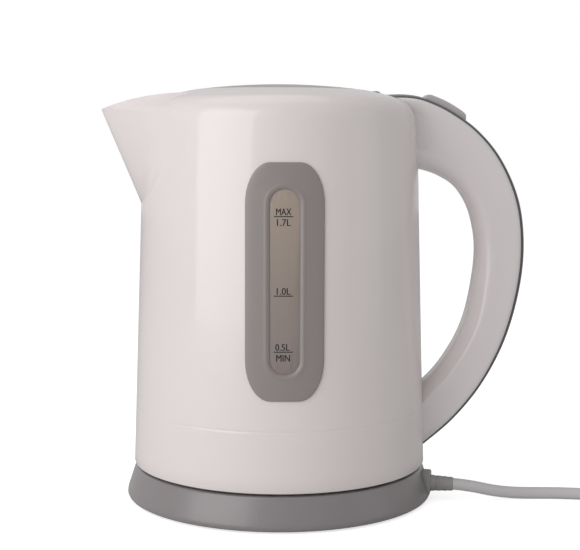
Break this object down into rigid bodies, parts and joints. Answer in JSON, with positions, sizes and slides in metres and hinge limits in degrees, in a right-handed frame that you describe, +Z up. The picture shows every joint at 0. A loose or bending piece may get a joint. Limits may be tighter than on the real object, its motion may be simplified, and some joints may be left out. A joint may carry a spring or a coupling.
{
  "type": "electric kettle",
  "caption": "Cordless electric kettle: tapered white jug with spout, loop handle, grey hinged lid and water gauge, on a round grey power base with mains lead.",
  "frame": {"origin": "centre of the power base's flat underside, on the jug's vertical axis; the rubber feet stand 1 mm below it", "axes": "+Z up along the jug's axis, +X towards the handle, -X towards the spout, -Y towards the water gauge"},
  "size_m": [0.3634, 0.1914, 0.2266],
  "materials": {
    "white_jug": "glossy",
    "white_handle": "glossy",
    "white_cover": "satin",
    "grey_shell": "semi-gloss",
    "grey_plate": "matte",
    "rubber_feet": "matte",
    "screw_steel": "satin",
    "black_plastic": "matte",
    "brass_contacts": "satin",
    "dark_relief": "matte",
    "lead_sheath": "satin",
    "tie_strap": "matte",
    "plug_plastic": "satin",
    "nickel_pins": "polished",
    "plate_steel": "brushed",
    "silicone_seal": "matte",
    "element_metal": "matte",
    "control_plastic": "matte",
    "gauge_grey": "satin",
    "gauge_clear": "translucent",
    "filter_nylon": "mesh",
    "strip_grey": "satin",
    "bimetal": "satin",
    "lead_wire": "satin",
    "pin_steel": "polished",
    "rocker_grey": "semi-gloss",
    "lid_grey": "semi-gloss"
  },
  "bodies": {
    "base": {"base_shell": "grey_shell", "base_plate": "grey_plate", "base_feet": "rubber_feet", "base_screws": "screw_steel", "base_post": "black_plastic", "post_contacts": "brass_contacts", "cord_relief": "dark_relief", "cord_clamp": "black_plastic", "cord_run": "lead_sheath", "cord_coil": "lead_sheath", "cord_tail": "lead_sheath", "coil_tie": "tie_strap", "plug_body": "plug_plastic", "plug_pins": "nickel_pins"},
    "socket": {"socket_ring": "black_plastic", "socket_contacts": "brass_contacts"},
    "jug": {"jug_body": "white_jug", "bottom_cover": "white_cover", "cover_screws": "screw_steel", "heating_plate": "plate_steel", "plate_seal": "silicone_seal", "heating_element": "element_metal", "thermostat": "control_plastic", "thermostat_screws": "screw_steel", "gauge_frame": "gauge_grey", "gauge_window": "gauge_clear", "gauge_seal": "silicone_seal", "spout_filter": "white_cover", "filter_mesh": "filter_nylon", "handle_shell": "white_handle", "handle_strip": "strip_grey", "handle_screws": "screw_steel", "steam_duct": "silicone_seal", "steam_switch": "control_plastic", "switch_bimetal": "bimetal", "switch_leads": "lead_wire", "rocker_pin": "pin_steel", "lid_pin": "pin_steel"},
    "rocker": {"rocker": "rocker_grey"},
    "lid": {"lid_top": "lid_grey", "lid_underside": "white_cover", "lid_screws": "screw_steel"}
  },
  "joints": [
    {"name": "lift", "type": "slide", "parent": "base", "child": "socket", "axis": [0, 0, 1], "range_m": [0, 0.06]},
    {"name": "swivel", "type": "hinge", "parent": "socket", "child": "jug", "pos_m": [0, 0, 0.02], "axis": [0, 0, 1], "continuous": true},
    {"name": "lid_hinge", "type": "hinge", "parent": "jug", "child": "lid", "pos_m": [0.0515, 0, 0.2187], "axis": [0, 1, 0], "range_deg": [0, 80]},
    {"name": "rocker_tip", "type": "hinge", "parent": "jug", "child": "rocker", "pos_m": [0.08688, 0, 0.2075], "axis": [0, 1, 0], "range_deg": [0, 7]}
  ]
}
